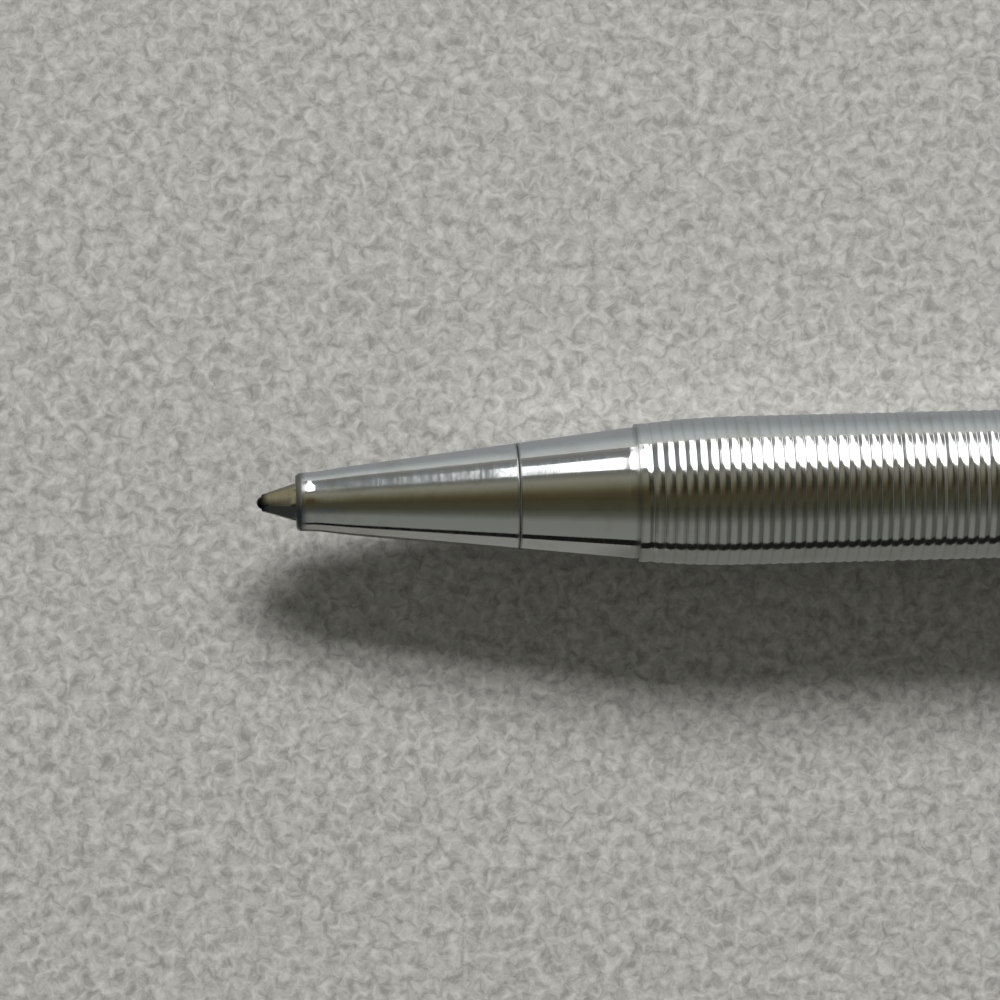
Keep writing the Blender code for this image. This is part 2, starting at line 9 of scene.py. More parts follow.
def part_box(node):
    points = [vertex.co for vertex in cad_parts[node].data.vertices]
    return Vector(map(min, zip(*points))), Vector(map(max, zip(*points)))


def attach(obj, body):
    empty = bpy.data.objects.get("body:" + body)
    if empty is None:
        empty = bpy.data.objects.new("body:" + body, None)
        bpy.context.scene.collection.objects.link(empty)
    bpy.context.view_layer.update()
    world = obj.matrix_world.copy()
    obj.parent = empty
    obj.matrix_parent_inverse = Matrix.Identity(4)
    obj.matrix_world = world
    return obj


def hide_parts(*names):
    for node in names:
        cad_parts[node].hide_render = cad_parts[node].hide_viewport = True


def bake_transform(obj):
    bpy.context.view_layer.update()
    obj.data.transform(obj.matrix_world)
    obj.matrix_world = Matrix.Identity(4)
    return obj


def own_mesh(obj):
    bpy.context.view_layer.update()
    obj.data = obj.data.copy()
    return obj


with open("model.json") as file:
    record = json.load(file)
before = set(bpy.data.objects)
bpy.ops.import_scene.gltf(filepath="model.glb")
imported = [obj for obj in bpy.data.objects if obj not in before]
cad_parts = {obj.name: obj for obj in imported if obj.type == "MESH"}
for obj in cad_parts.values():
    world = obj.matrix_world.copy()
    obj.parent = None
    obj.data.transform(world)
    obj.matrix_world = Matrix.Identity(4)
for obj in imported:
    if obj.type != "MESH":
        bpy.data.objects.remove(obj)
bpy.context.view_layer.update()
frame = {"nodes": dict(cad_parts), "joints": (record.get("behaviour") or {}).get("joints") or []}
scene = bpy.context.scene
mm = 0.001
micron = 1e-6
print("frame loaded,", len(frame["nodes"]), "nodes")


# where the pen lies: x along the pen from the writing ball, z through the middle of the clip

clipHinge = next(joint for joint in frame["joints"] if joint["name"] == "clip_flex")
ringLow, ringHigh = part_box("centre_ring")
axisPoint = Vector((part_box("writing_ball")[0].x, (ringLow.y + ringHigh.y) / 2, (ringLow.z + ringHigh.z) / 2))
rollAngle = math.atan2(clipHinge["axis"][2], clipHinge["axis"][1])
penRoll = Matrix.Rotation(rollAngle, 4, "X")
penPlace = Matrix.Translation(axisPoint) @ penRoll


def alongPen(worldX):  # millimetres from the writing ball
    return (worldX - axisPoint.x) / mm


def endsOf(node):
    low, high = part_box(node)
    return alongPen(low.x), alongPen(high.x)


# colours and nodes

noiseSpan = {"From Min": 0.3, "From Max": 0.7}  # most of a noise lies between these


def hexLinear(code):
    shades = [int(code[i:i + 2], 16) / 255 for i in (1, 3, 5)]
    return (*[s / 12.92 if s <= 0.04045 else ((s + 0.055) / 1.055) ** 2.4 for s in shades], 1.0)


def addNode(tree, kind, inputs=None, stops=(), **settings):  # a colour Mix has its colours in inputs 6 and 7
    node = tree.nodes.new("ShaderNode" + kind)
    for name, value in settings.items():
        setattr(node, name, value)
    for i, (position, code) in enumerate(stops):
        stop = node.color_ramp.elements[i] if i < 2 else node.color_ramp.elements.new(position)
        stop.position = position
        stop.color = hexLinear(code)
    setInputs(tree, node, inputs or {})
    return node


def setInputs(tree, node, inputs):  # a node given as a value links by its first output in use
    for key, value in inputs.items():
        if isinstance(value, bpy.types.Node):
            value = next(socket for socket in value.outputs if socket.enabled)
        if isinstance(value, bpy.types.NodeSocket):
            tree.links.new(value, node.inputs[key])
        else:
            node.inputs[key].default_value = value


def newMaterial(name):
    material = bpy.data.materials.new(name)
    material.use_nodes = True
    tree = material.node_tree
    return material, tree, tree.nodes["Principled BSDF"]


# silver plate on brass, lathe-turned and buffed: near mirror, fine lines round the pen, warm tarnish in patches


# darker ring hollows and mouth, and painted shade at the seam and at the first ring
def silverPlate(name, look, rings=None, seams=()):
    material, tree, shader = newMaterial(name)
    coords = addNode(tree, "TexCoord").outputs["Object"]
    stretch = [1 / (look[size] * mm) for size in ("lineMm", "sweepMm", "sweepMm")]
    lineSpace = addNode(tree, "Mapping", {"Vector": coords, "Scale": stretch})
    lines = addNode(tree, "TexNoise", {"Vector": lineSpace, "Scale": 1.0, "Detail": 2.0})
    inMm = addNode(tree, "Mapping", {"Vector": coords, "Scale": (1 / mm,) * 3})
    dents = addNode(tree, "TexNoise", {"Vector": inMm, "Scale": 1 / look["dentMm"], "Detail": 1.0})
    stains = addNode(tree, "TexNoise", {"Vector": inMm, "Scale": 1 / look["stainMm"],
                                        "Detail": 4.0, "Roughness": 0.6})
    stained = addNode(tree, "MapRange", {"Value": stains, "From Min": look["stainSpan"][0],
                                         "From Max": look["stainSpan"][1],
                                         "To Min": 0.0, "To Max": look["stainShare"]})
    colour = addNode(tree, "Mix", {"Factor": stained, 6: hexLinear(look["silver"]),
                                   7: hexLinear(look["tarnish"])}, data_type="RGBA")
    rough = addNode(tree, "MapRange", {"Value": lines, **noiseSpan, "To Min": look["roughness"][0],
                                       "To Max": look["roughness"][1]})
    x = addNode(tree, "SeparateXYZ", {"Vector": coords}).outputs["X"]
    shades = []  # share of the dark colour per band: painted shade at the seam and first ring, darker hollows and mouth
    if rings:
        passed = addNode(tree, "MapRange", {"Value": x, "From Min": rings["startX"] * mm,
                                            "From Max": rings["endX"] * mm,
                                            "To Min": 0.0, "To Max": rings["count"]}, clamp=True)
        fromHollow = addNode(tree, "Math", {0: passed, 1: 0.5}, operation="PINGPONG")
        inHollow = addNode(tree, "MapRange", {"Value": fromHollow, "From Min": look["hollowSpan"][0],
                                              "From Max": look["hollowSpan"][1],
                                              "To Min": look["hollowDarkening"], "To Max": 0.0})
        hair = 0.001  # of a ring
        after = addNode(tree, "Math", {0: passed, 1: hair}, operation="GREATER_THAN")
        before = addNode(tree, "Math", {0: passed, 1: rings["count"] - hair}, operation="LESS_THAN")
        onRings = addNode(tree, "Math", {0: after, 1: before}, operation="MULTIPLY")
        shades.append(addNode(tree, "Math", {0: inHollow, 1: onRings}, operation="MULTIPLY"))
        rough = addNode(tree, "Math", {0: onRings, 1: look["ringDull"], 2: rough}, operation="MULTIPLY_ADD")
    for seam in seams:
        fromSeam = addNode(tree, "Math", {0: x, 1: seam["x"] * mm}, operation="SUBTRACT")
        reach = addNode(tree, "Math", {0: fromSeam}, operation="ABSOLUTE")
        shades.append(addNode(tree, "MapRange", {"Value": reach, "From Min": seam["full"] * mm,
                                                 "From Max": seam["gone"] * mm,
                                                 "To Min": seam["share"], "To Max": 0.0}))
    for shade in shades:
        colour = addNode(tree, "Mix", {"Factor": shade, 6: colour, 7: hexLinear(look["darkening"])},
                         data_type="RGBA")
        rough = addNode(tree, "Math", {0: shade, 1: look["darkeningRough"], 2: rough}, operation="MULTIPLY_ADD")
    dentBump = addNode(tree, "Bump", {"Height": dents, "Strength": 1.0,
                                      "Distance": look["dentMicrons"] * micron})
    lineBump = addNode(tree, "Bump", {"Height": lines, "Strength": 1.0,
                                      "Distance": look["lineMicrons"] * micron, "Normal": dentBump})
    setInputs(tree, shader, {"Base Color": colour, "Roughness": rough, "Normal": lineBump, "Metallic": 1.0})
    return material


# other stock: metals with marks that follow the tool, and plastics, which have an ior, with a faint pitted skin


def stockFinish(name, look, ink=None):
    material, tree, shader = newMaterial(name)
    coords = addNode(tree, "TexCoord").outputs["Object"]
    stretch = [1 / (size * mm) for size in look["markMm"]]
    space = addNode(tree, "Mapping", {"Vector": coords, "Scale": stretch})
    marks = addNode(tree, "TexNoise", {"Vector": space, "Scale": 1.0, "Detail": 3.0})
    colour = addNode(tree, "Mix", {"Factor": marks, 6: hexLinear(look["dark"]), 7: hexLinear(look["light"])},
                     data_type="RGBA")
    rough = addNode(tree, "MapRange", {"Value": marks, **noiseSpan, "To Min": look["roughness"][0],
                                       "To Max": look["roughness"][1]})
    bump = addNode(tree, "Bump", {"Height": marks, "Strength": 1.0, "Distance": look["markMicrons"] * micron})
    if ink:  # creeps back from the ball
        x = addNode(tree, "SeparateXYZ", {"Vector": coords}).outputs["X"]
        wet = addNode(tree, "MapRange", {"Value": x, "From Min": ink["full"] * mm, "From Max": ink["gone"] * mm,
                                         "To Min": ink["share"], "To Max": 0.0})
        colour = addNode(tree, "Mix", {"Factor": wet, 6: colour, 7: hexLinear(ink["colour"])},
                         data_type="RGBA")
    setInputs(tree, shader, {"Base Color": colour, "Roughness": rough, "Normal": bump})
    if "ior" in look:
        setInputs(tree, shader, {"IOR": look["ior"]})
    else:
        setInputs(tree, shader, {"Metallic": 1.0})
    return material


ringTurning = {
    "pitch": 0.68,  # ring to ring
    "swell": 0.0195,  # each ring rises this far above the mean, and the hollow beside it falls as far
    "wornSwell": 0.0140, "wornEnd": 34.0, "freshStart": 41.0,  # rings under the fingers are worn lower
    "uneven": 0.12, "unevenTurns": (2.4, 0.7),  # share by which rings differ, and how fast that changes
    # points along one ring
    "steps": (0, 0.045, 0.09, 0.17, 0.26, 0.37, 0.5, 0.63, 0.74, 0.83, 0.91, 0.955),
    # fine line cut in each hollow: depth, and share of the pitch to each side
    "notch": 0.0095, "notchReach": 0.09,
    "lip": (0.12, 0.24), "lipDrop": 0.02,  # ramp from the last ring to the plain radius
    "collarEnd": 23.70,  # the first ring stands up from the smooth collar here
    "barrelStart": 24.54, "barrelEnd": 66.40,
    "capStart": 72.40, "capEnd": 86.70,
}


def ringCount(startX, endX):
    return round((endX - startX) / ringTurning["pitch"])


def ringZone(startX, endX):
    return {"startX": startX, "endX": endX, "count": ringCount(startX, endX)}


buffedLook = {
    "silver": "#e6e6e4",
    "tarnish": "#bdb7a6", "stainMm": 2.6, "stainSpan": (0.52, 0.78), "stainShare": 0.35,
    # buffing lines, drawn coarser than the real ones to show
    "lineMm": 0.16, "sweepMm": 5.0, "lineMicrons": 0.25,
    "dentMm": 1.6, "dentMicrons": 1.5, "roughness": (0.05, 0.09),
    "hollowDarkening": 0.12, "hollowSpan": (0.02, 0.22),  # how much darker the ring hollows are; full and gone, in shares of the pitch from the hollow
    # dark colour of the painted shade at the seam and first ring and of the darker hollows and mouth, and the
    # roughness it adds
    "darkening": "#2b2824", "darkeningRough": 0.35,
    "ringDull": 0.04,  # roughness that handling adds on the rings
}
# the nose is worn by hand: small dents that break up reflections, more tarnish and less gloss
wornLook = {**buffedLook, "dentMm": 0.7, "dentMicrons": 4.6, "roughness": (0.06, 0.13), "stainShare": 0.5}
# painted shade along the seam and at the first ring, and darker metal round the mouth: millimetres along the
# pen, and reach to both sides
seamShade = {"x": endsOf("barrel_sleeve")[0], "full": 0.05, "gone": 0.18, "share": 0.60}
stepShade = {"x": ringTurning["collarEnd"] - 0.04, "full": 0.03, "gone": 0.30, "share": 0.36}
mouthDarkening = {"x": endsOf("nose_cone")[0], "full": 0.26, "gone": 0.62, "share": 0.70}

noseSilver = silverPlate("silverPlateHandWorn", wornLook, seams=[seamShade, mouthDarkening])
barrelSilver = silverPlate("silverPlateRingTurnedBarrel", buffedLook,
                           ringZone(ringTurning["barrelStart"], ringTurning["barrelEnd"]),
                           seams=[seamShade, stepShade])
capSilver = silverPlate("silverPlateRingTurnedCap", buffedLook,
                        ringZone(ringTurning["capStart"], ringTurning["capEnd"]))
plainSilver = silverPlate("silverPlateBuffed", buffedLook)
# turned brass: warm yellow, half bright, with tool lines round the piece
brass = stockFinish("freeCuttingBrassTurned", {
    "dark": "#b08a43", "light": "#d6b36a", "markMm": (0.12, 3.0, 3.0), "markMicrons": 1.5,
    "roughness": (0.22, 0.36)})
# turned nickel silver: pale warm grey and bright, stained by ink beside the ball
nickelSilver = stockFinish("nickelSilverPointTurned", {
    "dark": "#a09a82", "light": "#b9b39b", "markMm": (0.14, 1.5, 1.5), "markMicrons": 0.3,
    "roughness": (0.10, 0.18)}, ink={"full": 0.35, "gone": 0.75, "share": 0.9, "colour": "#1b1a1e"})
# drawn steel: cool grey, with soft streaks along the draw
steel = stockFinish("stainlessSteelDrawn", {
    "dark": "#8d8f92", "light": "#b9bbbd", "markMm": (2.0, 0.08, 0.08), "markMicrons": 0.8,
    "roughness": (0.18, 0.32)})
# ground carbide: near black under a glossy film of ink
carbide = stockFinish("tungstenCarbideInked", {
    "dark": "#15151a", "light": "#3a3a40", "markMm": (0.15, 0.15, 0.15), "markMicrons": 1.0,
    "roughness": (0.16, 0.30)})
# moulded acetal: milky white with a waxy half gloss
acetal = stockFinish("acetalMoulded", {
    "dark": "#d4d0c6", "light": "#e4e1d8", "markMm": (0.25, 0.25, 0.25), "markMicrons": 2.0,
    "roughness": (0.35, 0.5), "ior": 1.48})
# punched nylon: dull black
nylon = stockFinish("nylonPunched", {
    "dark": "#1c1c1d", "light": "#2a2a2b", "markMm": (0.2, 0.2, 0.2), "markMicrons": 2.0,
    "roughness": (0.4, 0.6), "ior": 1.53})
print("materials made")


# shared mesh steps


def lathe(name, outline, facets, sharpDegrees=28):
    # outline: (x, radius) or (x, radius, thread share) round the section; axis points close it
    bm = bmesh.new()
    rows = []
    for place in outline:
        x, radius, share = (*place, 0.0)[:3]
        if radius == 0:
            rows.append([bm.verts.new((x * mm, 0, 0))])
            continue
        row = []
        for k in range(facets):
            turn = k / facets
            angle = 2 * math.pi * turn
            r = (radius - share * threadDepthAt(x, turn)) * mm
            row.append(bm.verts.new((x * mm, r * math.cos(angle), r * math.sin(angle))))
        rows.append(row)
    closed = len(rows[0]) > 1
    pairs = zip(rows, rows[1:] + rows[:1] if closed else rows[1:])
    for here, there in pairs:
        for k in range(facets):
            n = (k + 1) % facets
            corners = [here[k % len(here)], here[n % len(here)], there[n % len(there)], there[k % len(there)]]
            bm.faces.new(list(dict.fromkeys(corners)))
    return meshFrom(name, bm, sharpDegrees)


def run(startX, endX, radiusAt, count=6):  # straight run that keeps off its ends, so their edges shade cleanly
    inset = 0.04
    inner = [startX + inset + (endX - startX - 2 * inset) * i / count for i in range(count + 1)]
    return [(x, radiusAt(x)) for x in inner]


def meshFrom(name, bm, sharpDegrees):
    bmesh.ops.recalc_face_normals(bm, faces=bm.faces)
    mesh = bpy.data.meshes.new(name)
    bm.to_mesh(mesh)
    bm.free()
    mesh.shade_smooth()
    mesh.set_sharp_from_angle(angle=math.radians(sharpDegrees))
    return mesh


def arc(centre, radius, startDegrees, endDegrees, count):  # degrees turn from +x outwards
    turned = endDegrees - startDegrees
    angles = [math.radians(startDegrees + turned * i / (count - 1)) for i in range(count)]
    return [(centre[0] + radius * math.cos(a), centre[1] + radius * math.sin(a)) for a in angles]


def dress(name, mesh, material, body, slot, *nodes):
    mesh.materials.append(material)
    piece = setOnPen(name, mesh)
    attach(piece, body)
    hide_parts(*nodes)
    return piece


def setOnPen(name, mesh):  # the roll goes into the mesh, so the piece's box stays tight
    mesh.transform(penRoll)
    piece = bpy.data.objects.new(name, mesh)
    piece.matrix_world = Matrix.Translation(axisPoint)
    scene.collection.objects.link(piece)
    return piece


def cutOut(piece, low, high, corner):  # box with round corners, in the pen's own millimetres
    bm = bmesh.new()
    low, high = Vector(low) * mm, Vector(high) * mm
    bmesh.ops.create_cube(bm, size=1.0)
    bmesh.ops.scale(bm, verts=bm.verts, vec=high - low)
    bmesh.ops.translate(bm, verts=bm.verts, vec=(low + high) / 2)
    upright = [e for e in bm.edges if abs((e.verts[0].co - e.verts[1].co).z) > (high - low).z / 2]
    bmesh.ops.bevel(bm, geom=upright, offset=corner * mm, segments=4, affect="EDGES")
    applyBoolean(piece, setOnPen("cutter", meshFrom("cutter", bm, 30)))


def applyBoolean(piece, cutter):
    cut = piece.modifiers.new("cut", "BOOLEAN")
    cut.operation = "DIFFERENCE"
    cut.solver = "EXACT"
    cut.object = cutter
    bpy.context.view_layer.update()
    graph = bpy.context.evaluated_depsgraph_get()
    done = bpy.data.meshes.new_from_object(piece.evaluated_get(graph))
    piece.modifiers.remove(cut)
    piece.data = done
    bpy.data.objects.remove(cutter)


# outside shape shared by the nose and the barrel, from the frame's own sizes

taper = {
    "mouthRadius": 1.78,
    "rise": 0.1125,  # radius gained per millimetre along the pen
    "shoulderEnd": 30.31, "shoulderRadius": 56.0,  # the rings follow a long curve up to the full width
}
mouthX = endsOf("nose_cone")[0]
seamX, twistX = endsOf("barrel_sleeve")
capStartX, capEndX = endsOf("cap_sleeve")
barrelRadius = 4.70


def coneRadius(x):
    return taper["mouthRadius"] + taper["rise"] * (x - mouthX)


def crownRadius(x):
    if x > taper["shoulderEnd"]:
        return barrelRadius
    left = taper["shoulderEnd"] - x
    return barrelRadius - taper["shoulderRadius"] + math.sqrt(taper["shoulderRadius"] ** 2 - left ** 2)


def ringSwell(x):  # low where the fingers wear the rings, full further back
    fresh = (x - ringTurning["wornEnd"]) / (ringTurning["freshStart"] - ringTurning["wornEnd"])
    fresh = min(1.0, max(0.0, fresh))
    return ringTurning["wornSwell"] + fresh * (ringTurning["swell"] - ringTurning["wornSwell"])


def ringOutline(startX, endX):  # swelling rings that roll smoothly into the hollows between them
    count = ringCount(startX, endX)
    fast, slow = ringTurning["unevenTurns"]
    points = []
    for ring in [*[i + step for i in range(count) for step in ringTurning["steps"]], count]:
        x = startX + (endX - startX) * ring / count
        uneven = 1 + ringTurning["uneven"] * math.sin(fast * ring) * math.cos(slow * ring)
        notch = ringTurning["notch"] * max(0.0, 1 - abs(ring - round(ring)) / ringTurning["notchReach"])
        hollow = ringSwell(x) * uneven * (1 + math.cos(2 * math.pi * ring))
        points.append((x, crownRadius(x) - hollow - notch))
    return points


def ringLip(x, way):  # from the rings outwards: way is 1 behind them and -1 before them
    near, far = ringTurning["lip"]
    return [(x + way * near, barrelRadius - ringTurning["lipDrop"]), (x + way * far, barrelRadius)]


# nose: smooth cone with a rolled rim and a threaded spigot

nose = {
    "facets": 128,
    "rimRadius": 0.48, "rimTurn": 56, "rimLand": 0.06, "rimDrop": 0.004,  # rolled rim of the mouth
    "waistFall": 0.80, "waistRise": 2.4, "waistDepth": 0.045,  # behind it the cone is drawn in a little
    "edge": 0.06, "seamGap": 0.012,
    "pointBore": 1.25, "tubeBore": 1.75, "springBore": 2.35, "tubeBoreStart": 7.5, "springSeat": 13.5,
    "mouthChamfer": 0.06, "boreCone": 0.5,
    "spigotRadius": 2.75, "spigotEnd": 22.0, "reliefDepth": 0.2, "reliefGap": 0.3,
    "threadStart": 17.2, "threadEnd": 21.6, "threadFade": 0.4,
}
thread = {"pitch": 0.5, "depth": 0.24, "stepsPerPitch": 8}


def threadDepthAt(x, turn):  # triangular thread, wound like a screw
    phase = (x / thread["pitch"] - turn) % 1.0
    return thread["depth"] * abs(2 * phase - 1)


def threadOutline():  # the thread runs out at both ends
    start, end = nose["threadStart"], nose["threadEnd"]
    count = round((end - start) / thread["pitch"] * thread["stepsPerPitch"])
    points = []
    for i in range(count + 1):
        x = start + (end - start) * i / count
        share = min(1.0, (x - start) / nose["threadFade"], (end - x) / nose["threadFade"])
        points.append((x, nose["spigotRadius"], max(0.0, share)))
    return points


def makeNose():
    rim, edge, chamfer = nose["rimRadius"], nose["edge"], nose["mouthChamfer"]
    centreX = mouthX + rim * math.sin(math.radians(nose["rimTurn"]))
    crestX = centreX + nose["rimLand"]
    crest = coneRadius(crestX)
    mouth = arc((centreX, crest - rim - nose["rimDrop"]), rim, 90 + nose["rimTurn"], 93, 14)
    waist = [(crestX, crest)]
    for start, length, count in ((0, nose["waistFall"], 8), (nose["waistFall"], nose["waistRise"], 14)):
        for i in range(1, count + 1):
            x = crestX + start + length * i / count
            drawn = (1 + math.cos(math.pi * i / count)) / 2
            waist.append((x, coneRadius(x) - nose["waistDepth"] * (drawn if start else 1 - drawn)))
    lastX = seamX - nose["seamGap"]
    body = run(waist[-1][0], lastX - edge, coneRadius)
    seam = arc((lastX - edge, coneRadius(lastX - edge) - edge), edge, 84, 0, 5)
    relief = nose["spigotRadius"] - nose["reliefDepth"]
    outline = [
        (mouthX, nose["pointBore"] + chamfer), *mouth, *waist, *body, *seam,
        (lastX, relief), (nose["threadStart"] - nose["reliefGap"], relief),
        *threadOutline(), (nose["spigotEnd"], relief),
        (nose["spigotEnd"], nose["springBore"]), (nose["springSeat"], nose["springBore"]),
        (nose["springSeat"], nose["tubeBore"]), (nose["tubeBoreStart"], nose["tubeBore"]),
        (nose["tubeBoreStart"] - nose["boreCone"], nose["pointBore"]), (mouthX + chamfer, nose["pointBore"]),
    ]
    mesh = lathe("noseCone", outline, nose["facets"])
    dress("noseCone", mesh, noseSilver, "nose", "polished_silver", "nose_cone")


makeNose()
print("nose made")


# barrel: smooth collar, a small step where the first ring stands up, then the rings

barrel = {
    "facets": 112,
    "edge": 0.06,
    # how steeply the outside rises, in degrees, at millimetres from where the first ring stands up
    "collar": [(-1.10, 6.4), (-0.90, 6.8), (-0.72, 7.15), (-0.62, 7.1), (-0.54, 5.6), (-0.46, 4.8),
               (-0.10, 4.6), (0, 3.5)],
    "lead": [(0.006, 4.8), (0.36, 5.0), (0.46, 3.5), (0.60, -5), (0.68, -8), (0.76, -4), (0.84, 3)],
    "threadBore": 2.85, "bore": 3.95, "boreTaper": (25.0, 27.5),
}


def leaning(slopes, perSlope=4):  # outline that starts at radius 0 and follows the slopes
    points = [(ringTurning["collarEnd"] + slopes[0][0], 0.0)]
    for (x, lean), (nextX, nextLean) in zip(slopes, slopes[1:]):
        for i in range(perSlope):
            mean = lean + (nextLean - lean) * (i + 0.5) / perSlope
            length = (nextX - x) / perSlope
            points.append((points[-1][0] + length, points[-1][1] + math.tan(math.radians(mean)) * length))
    return points


def makeBarrel():
    edge = barrel["edge"]
    front = arc((seamX + edge, coneRadius(seamX + edge) - edge), edge, 180, 96, 5)
    rings = ringOutline(ringTurning["barrelStart"], ringTurning["barrelEnd"])
    roll = leaning(barrel["collar"])
    rollStart = coneRadius(roll[0][0])
    collar = run(seamX + edge, roll[0][0], coneRadius)
    lead = leaning(barrel["lead"])
    outside = [*collar, *[(x, rollStart + rise) for x, rise in roll],
               *[(x, rings[0][1] + rise - lead[-1][1]) for x, rise in lead[:-1]], *rings]
    rear = arc((twistX - edge, barrelRadius - edge), edge, 90, 0, 5)
    inside = [(twistX, barrel["bore"]), (barrel["boreTaper"][1], barrel["bore"]),
              (barrel["boreTaper"][0], barrel["threadBore"]), (seamX, barrel["threadBore"])]
    outline = [*front, *outside, *ringLip(ringTurning["barrelEnd"], 1), *rear, *inside]
    mesh = lathe("barrelSleeve", outline, barrel["facets"])
    dress("barrelSleeve", mesh, barrelSilver, "barrel", "polished_silver", "barrel_sleeve")


makeBarrel()
print("barrel made")


# centre ring: polished band with a fine line cut near each edge

centreRing = {"facets": 128, "radius": 4.80, "bore": 3.60, "edge": 0.14,
              "lineInset": 0.55, "lineWidth": 0.12, "lineDepth": 0.07}


def makeCentreRing():
    startX, endX = endsOf("centre_ring")
    radius, bore, edge = centreRing["radius"], centreRing["bore"], centreRing["edge"]
    half = centreRing["lineWidth"] / 2
    outline = [(startX, bore), *arc((startX + edge, radius - edge), edge, 180, 90, 6)]
    for lineX in (startX + centreRing["lineInset"], endX - centreRing["lineInset"]):
        outline += [(lineX - half, radius), (lineX - half / 2, radius - centreRing["lineDepth"]),
                    (lineX + half / 2, radius - centreRing["lineDepth"]), (lineX + half, radius)]
    outline += [*arc((endX - edge, radius - edge), edge, 90, 0, 6), (endX, bore)]
    mesh = lathe("centreRing", outline, centreRing["facets"])
    dress("centreRing", mesh, plainSilver, "barrel", "polished_silver", "centre_ring")


makeCentreRing()


# cap: rings where the fingers turn it, plain and slightly tapered under the clip

cap = {
    "facets": 112, "edge": 0.09, "bore": 4.10, "plainX": 100.0, "topRadius": 4.55,
    "taper": (116.5, 119.5), "taperRadius": 4.684,  # the taper starts in a soft bend
    "window": (124.65, 128.35), "windowHalfWidth": 1.65, "windowDepth": (2.5, 7.0), "windowCorner": 0.3,
}


def makeCap():
    edge = cap["edge"]
    start, end = ringTurning["capStart"], ringTurning["capEnd"]
    front = arc((capStartX + edge, barrelRadius - edge), edge, 180, 90, 5)
    taperStart, taperEnd = cap["taper"]
    plain = [(cap["plainX"], barrelRadius), (taperStart, barrelRadius), (taperEnd, cap["taperRadius"])]
    rear = arc((capEndX - edge, cap["topRadius"] - edge), edge, 90, 0, 5)
    outline = [*front, *ringLip(start, -1)[::-1], *ringOutline(start, end), *ringLip(end, 1), *plain, *rear,
               (capEndX, cap["bore"]), (capStartX, cap["bore"])]
    mesh = lathe("capSleeve", outline, cap["facets"])
    piece = dress("capSleeve", mesh, capSilver, "cap", "polished_silver", "cap_sleeve")
    (left, right), (low, high), half = cap["window"], cap["windowDepth"], cap["windowHalfWidth"]
    cutOut(piece, (left, -half, low), (right, half, high), cap["windowCorner"])


makeCap()
print("cap made")


# finial: domed top with a flat disc and a fine turned line round it

finial = {
    "facets": 128, "bore": 2.60, "boreEnd": 135.8, "rim": 4.40, "flat": 2.40, "edge": 0.16, "edgeDrop": 0.06,
    "domeStart": 0.75, "domeSteps": 12,
    "line": (1.75, 1.70, 1.60, 1.55), "lineDepth": 0.06,  # radii down into the line and up again
}


def makeFinial():
    startX, endX = endsOf("finial")
    rim, flat, edge, depth = finial["rim"], finial["flat"], finial["edge"], finial["lineDepth"]
    dome = []
    domeStart = startX + finial["domeStart"]
    for i in range(finial["domeSteps"] + 1):
        turn = math.pi / 2 * i / finial["domeSteps"]
        dome.append((domeStart + (endX - domeStart) * math.sin(turn), flat + (rim - flat) * math.cos(turn)))
    lineDepths = (0, depth, depth, 0)
    outline = [
        (finial["boreEnd"], 0), (finial["boreEnd"], finial["bore"]), (startX, finial["bore"]),
        *arc((startX + edge, rim - finial["edgeDrop"] - edge), edge, 180, 90, 6), *dome,
        *[(endX - down, radius) for down, radius in zip(lineDepths, finial["line"])], (endX, 0),
    ]
    mesh = lathe("finialButton", outline, finial["facets"])
    dress("finialButton", mesh, plainSilver, "cap", "polished_silver", "finial")


makeFinial()


# refill: turned point with the ball in its socket

point = {
    "facets": 64, "ball": 0.40, "socketGap": 0.035, "socketTurn": (28, 104),
    "lipX": 0.30, "lipRadius": 0.52, "lipDrop": 0.02, "lipEdge": 0.03, "lipSwell": 0.01,
    "coneSteps": (0.8, 1.4, 2.0, 2.35), "radius": 1.175, "shoulder": 8.9,
    "spigot": 1.15, "end": 13.0, "channel": 0.22,
}


def makeRefill():
    lipX, lipRadius, radius = point["lipX"], point["lipRadius"], point["radius"]
    socket = arc((point["ball"], 0), point["ball"] + point["socketGap"], *point["socketTurn"], 9)
    coneEnd = point["coneSteps"][-1]
    cone = [(x, lipRadius + (radius - lipRadius) * (x - lipX) / (coneEnd - lipX)) for x in point["coneSteps"]]
    outline = [
        *socket, (lipX, lipRadius - point["lipDrop"]),
        (lipX + point["lipEdge"], lipRadius + point["lipSwell"]), *cone,
        (point["shoulder"], radius), (point["shoulder"], point["spigot"]), (point["end"], point["spigot"]),
        (point["end"], point["channel"]),
    ]
    mesh = lathe("refillPoint", outline, point["facets"])
    dress("refillPoint", mesh, nickelSilver, "refill", "nickel_silver", "refill_point")
    bm = bmesh.new()
    bmesh.ops.create_uvsphere(bm, u_segments=48, v_segments=32, radius=point["ball"] * mm)
    bmesh.ops.translate(bm, verts=bm.verts, vec=(point["ball"] * mm, 0, 0))
    dress("writingBall", meshFrom("writingBall", bm, 60), carbide, "refill", "carbide", "writing_ball")


makeRefill()
print("refill made")


# springs: one round wire each, evenly wound

returnSpring = {"wire": 0.40, "radius": 2.05, "turns": 8, "pointsPerTurn": 28, "sides": 12,
                "start": 13.80, "end": 24.00}
clipSpring = {"wire": 0.28, "radius": 0.75, "turns": 4, "pointsPerTurn": 24, "sides": 10,
              "x": 130.0, "foot": -1.80, "rise": 2.80}


def coil(spec, start, length):  # place along the coil's axis, then the two places across it
    count, radius = spec["turns"] * spec["pointsPerTurn"], spec["radius"]
    points = []
    for i in range(count + 1):
        turn = 2 * math.pi * i / spec["pointsPerTurn"]
        points.append((start + length * i / count, radius * math.cos(turn), radius * math.sin(turn)))
    return points


